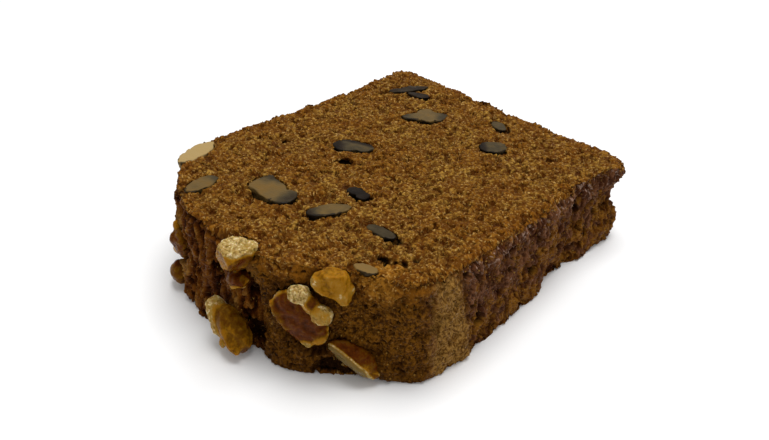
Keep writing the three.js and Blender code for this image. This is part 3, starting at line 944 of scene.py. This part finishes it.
def paintCutNut(piece, nut, whole):
    place = meshArrays(piece)[0]
    nearest = np.full(len(place), 9.0)
    for lobe in lobesOf(nut):
        nearest = np.minimum(nearest, np.linalg.norm(lobeSpace(place, whole, lobe), axis=1))
    offset = place[:, :2] - np.array(whole.translation)[:2]
    shade = np.full(len(place), nut["shade"])
    for heading in nut.get("dark", ()):
        shade -= walnut["darkShare"] * smoothstep(towards(offset, heading), *walnut["darkEnd"])
    # the dark edge is skin, and on the side toward the gap also painted shade
    shrunk = smoothstep(towards(offset, walnut["shrunkTo"]), *walnut["shrunkBand"])
    shrunk = walnut["edgeElsewhere"] + (1 - walnut["edgeElsewhere"]) * shrunk
    setAttribute(piece, "shade", shade)
    setAttribute(piece, "cream", np.full(len(place), nut.get("cream", 0.0)))
    setAttribute(piece, "edge", smoothstep(nearest, *walnut["cutEdge"]) * shrunk)


def towards(offset, heading):  # 1 at the end that lies that way
    along = offset @ np.array([math.cos(math.radians(heading)), math.sin(math.radians(heading))])
    return along / along.max()


def makeNut(name, nut, height, standing, material):
    whole = nutMatrix(nut, height, standing)
    piece = joinedLobes(name, whole, lobesOf(nut), 0.0 if standing else walnut["spread"])
    for chip in nut.get("chips", ()):
        facing = Vector(chip["facing"]).normalized()
        sliceOff(piece, whole @ (facing * chip["reach"] * mm), whole.to_3x3() @ facing)
    if "chips" in nut:
        applyModifier(piece, "REMESH", mode="VOXEL", voxel_size=walnut["voxel"])
    applyModifier(piece, "SMOOTH", factor=0.5, iterations=walnut["smoothSteps"])
    applyModifier(piece, "NODES", node_group=nutTrees["form"])
    knifeCut(piece)
    applyModifier(piece, "REMESH", mode="VOXEL", voxel_size=walnut["voxel"])
    if standing:
        paintCrustNut(piece, nut, whole)
    else:
        paintCutNut(piece, nut, whole)
    applyModifier(piece, "NODES", node_group=nutTrees["skin"])
    pickOnly(piece)
    bpy.ops.object.shade_smooth()
    wear(piece, material)
    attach(piece, "root")
    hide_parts(name)
    return len(piece.data.polygons)


walnutColours = {
    # The skin, from reddish brown over amber to cream
    "skin": [
        (0.0, colour(0.030, 0.006, 0.0008)),
        (0.2, colour(0.086, 0.018, 0.0012)),
        (0.36, colour(0.130, 0.052, 0.0022)),
        (0.5, colour(0.270, 0.115, 0.0040)),
        (0.62, colour(0.330, 0.155, 0.012)),
        (0.76, colour(0.31, 0.19, 0.040)),
        (0.98, colour(0.43, 0.30, 0.115)),
    ],
    "flake": colour(0.68, 0.56, 0.32),
    "vein": colour(0.15, 0.088, 0.018),
    "olive": colour(0.150, 0.098, 0.030),
    "glossTint": colour(1.0, 0.75, 0.45),
    # The cut face, from black skin over grey to tan
    "cut": [
        (0.05, colour(0.007, 0.004, 0.002)),
        (0.28, colour(0.019, 0.011, 0.005)),
        (0.5, colour(0.050, 0.036, 0.016)),
        (0.8, colour(0.122, 0.076, 0.024)),
        (1.0, colour(0.150, 0.082, 0.018)),
    ],
    "cutCream": colour(0.42, 0.29, 0.115),
    "cutEdge": colour(0.008, 0.005, 0.003),
}


def skinMaterial():
    material, tree, shader = newMaterial("walnutSkin")
    tint = walnutColours
    place = attributeOf(tree, "home", "Vector")
    tone = attributeOf(tree, "tone")
    texture = nutTexture(tree, place)
    fine = noiseOf(tree, place, 0.45, 2)
    drift = sumOf(tree, (tone, 1.0), (texture["swell"], 0.38), (texture["wrinkle"], 0.4),
                  (calc(tree, "SUBTRACT", fine, 0.5), 0.25), (texture["crease"], -0.05))
    flaky = step(tree, calc(tree, "MULTIPLY_ADD", texture["swell"], 0.8, tone), 0.62, 0.85)
    flakes = times(tree, step(tree, texture["flake"], 0.04, 0.14), flaky)
    veins = times(tree, step(tree, texture["flake"], -0.01, -0.11), flaky)
    surface = layered(
        tree, rampOf(tree, drift, tint["skin"]),
        (times(tree, flakes, 0.8), tint["flake"]),
        (times(tree, veins, 0.85), tint["vein"]),
        (attributeOf(tree, "olive"), tint["olive"]),
    )
    setInputs(tree, shader, {
        "Base Color": surface,
        "Roughness": step(tree, flaky, 0.0, 1.0, 0.18, 0.6),
        "Specular IOR Level": 0.05,
        "Specular Tint": tint["glossTint"],
        "Subsurface Weight": 0.35,
        "Subsurface Radius": (1.0, 0.45, 0.1),
        "Subsurface Scale": 2.0 * mm,
        "Normal": bumpOf(tree, sumOf(tree, (texture["flake"], 1.0), (fine, 0.3)), 0.4, 0.4),
    })
    return material


def cutNutMaterial():
    material, tree, shader = newMaterial("walnutCut")
    tint = walnutColours
    place = attributeOf(tree, "home", "Vector")
    shade, cream, edge = (attributeOf(tree, name) for name in ("shade", "cream", "edge"))
    texture = nutTexture(tree, place)
    drift = sumOf(tree, (shade, 1.0), (texture["swell"], 0.5), (texture["flake"], 0.15))
    edgeSkinAndShade = step(tree, calc(tree, "MULTIPLY_ADD", texture["wrinkle"], 2.0, edge), 0.7, 1.1)
    face = layered(
        tree, rampOf(tree, drift, tint["cut"]),
        (cream, tint["cutCream"]),
        # the dark edge: skin, partly painted shade
        (times(tree, edgeSkinAndShade, 0.85), tint["cutEdge"]),
    )
    setInputs(tree, shader, {
        "Base Color": face,
        "Roughness": 0.4,
        "Specular IOR Level": 0.08,
        "Normal": bumpOf(tree, noiseOf(tree, place, 0.45, 2), 0.3, 0.3),
    })
    return material


def makeWalnuts():
    skin = skinMaterial()
    cut = cutNutMaterial()
    faces = 0
    for name, nut in crustNuts.items():
        faces += makeNut(name, nut, nut["at"][2] * mm, True, skin)
    for name, nut in upperNuts.items():
        faces += makeNut(name, nut, knifeHeight(nut["at"][1]), False, cut)
    for name, nut in lowerNuts.items():
        faces += makeNut(name, nut, 0.0, False, cut)
    print("walnuts", faces, "faces")


looseCrumbs = {
    "seed": 4,
    "perSquareMm": 0.11,
    "radius": 0.2 * mm,
    "smallest": 0.5,
    "largest": 1.5,
    "lowest": 1.5 * mm,  # above the floor
    "deep": colour(0.10, 0.036, 0.003),
    "light": colour(0.27, 0.14, 0.025),
}


def randomVector(tree, low, high):
    inputs = {"Min": (low,) * 3, "Max": (high,) * 3}
    return addNode(tree, "FunctionNodeRandomValue", inputs, data_type="FLOAT_VECTOR").outputs[0]


def scatterTree(piece):
    tree, start, end = newRelief("scatterCrumbs")
    surface = addNode(tree, "GeometryNodeObjectInfo", {"Object": piece}).outputs["Geometry"]
    density = looseCrumbs["perSquareMm"] / mm / mm
    place = addNode(tree, "GeometryNodeInputPosition").outputs[0]
    height = addNode(tree, "ShaderNodeSeparateXYZ", {0: place}).outputs[2]
    offFloor = calc(tree, "GREATER_THAN", height, looseCrumbs["lowest"])
    inputs = {"Mesh": surface, "Selection": offFloor, "Density": density, "Seed": looseCrumbs["seed"]}
    points = addNode(tree, "GeometryNodeDistributePointsOnFaces", inputs).outputs["Points"]
    turn = randomVector(tree, 0, 6.3)
    size = randomVector(tree, looseCrumbs["smallest"], looseCrumbs["largest"])
    inputs = {"Points": points, "Instance": start, "Rotation": turn, "Scale": size}
    placed = addNode(tree, "GeometryNodeInstanceOnPoints", inputs).outputs[0]
    tree.links.new(addNode(tree, "GeometryNodeRealizeInstances", {"Geometry": placed}).outputs[0], end)
    return tree


def makeLooseCrumbs(surface):
    bpy.ops.object.select_all(action="DESELECT")
    bpy.ops.mesh.primitive_ico_sphere_add(subdivisions=1, radius=looseCrumbs["radius"])
    piece = bpy.context.object
    piece.name = "loose_crumbs"
    applyModifier(piece, "NODES", node_group=scatterTree(surface))
    wear(piece, looseMaterial())
    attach(piece, "root")
    print("loose crumbs", len(piece.data.polygons), "faces")


def looseMaterial():
    material, tree, shader = newMaterial("looseCrumb")
    place = addNode(tree, "ShaderNodeTexCoord").outputs["Object"]
    shade = noiseOf(tree, place, 1.2, 2)
    surface = mixed(tree, step(tree, shade, 0.35, 0.65), looseCrumbs["deep"], looseCrumbs["light"])
    setInputs(tree, shader, {"Base Color": surface, "Roughness": 0.6, "Specular IOR Level": 0.06})
    return material


studio = {
    "floorSize": 6.0,
    "floorColour": colour(0.93, 0.93, 0.93),
    "floorRoughness": 0.9,
    "skyColour": colour(1.0, 1.0, 1.0),
    "skyStrength": 0.54,
    "keyPlace": (0.03, 0.11, 0.8),
    "keySize": 0.45,
    "keyPower": 5.1,
}

view = {
    "place": Vector((125.63, -128.75, 142.57)) * mm,
    "tilt": 53.89,
    "heading": 44.0,
    "lens": 39.79,
    "sensor": 36.0,
}


def makeStudio():
    bpy.ops.object.select_all(action="DESELECT")
    bpy.ops.mesh.primitive_plane_add(size=studio["floorSize"])
    floor = bpy.context.object
    floor.name = "floor"
    material, tree, shader = newMaterial("floorPaint")
    setInputs(tree, shader, {"Base Color": studio["floorColour"], "Roughness": studio["floorRoughness"]})
    wear(floor, material)

    world = bpy.data.worlds.new("softSky")
    bpy.context.scene.world = world
    world.use_nodes = True
    world.node_tree.nodes["Background"].inputs[0].default_value = studio["skyColour"]
    world.node_tree.nodes["Background"].inputs[1].default_value = studio["skyStrength"]

    bpy.ops.object.light_add(type="AREA", location=studio["keyPlace"])
    key = bpy.context.object
    key.data.size = studio["keySize"]
    key.data.energy = studio["keyPower"]
    key.rotation_euler = Vector(studio["keyPlace"]).to_track_quat("Z", "Y").to_euler()
    bpy.context.scene.view_settings.view_transform = "Standard"


def makeCamera():
    bpy.ops.object.camera_add(location=view["place"])
    camera = bpy.context.object
    camera.rotation_euler = (math.radians(view["tilt"]), 0, math.radians(view["heading"]))
    camera.data.sensor_width = view["sensor"]
    camera.data.lens = view["lens"]
    camera.data.clip_start = 0.01
    bpy.context.scene.camera = camera


breadPiece = makeBread()
makeWalnuts()
makeLooseCrumbs(breadPiece)
makeStudio()
makeCamera()
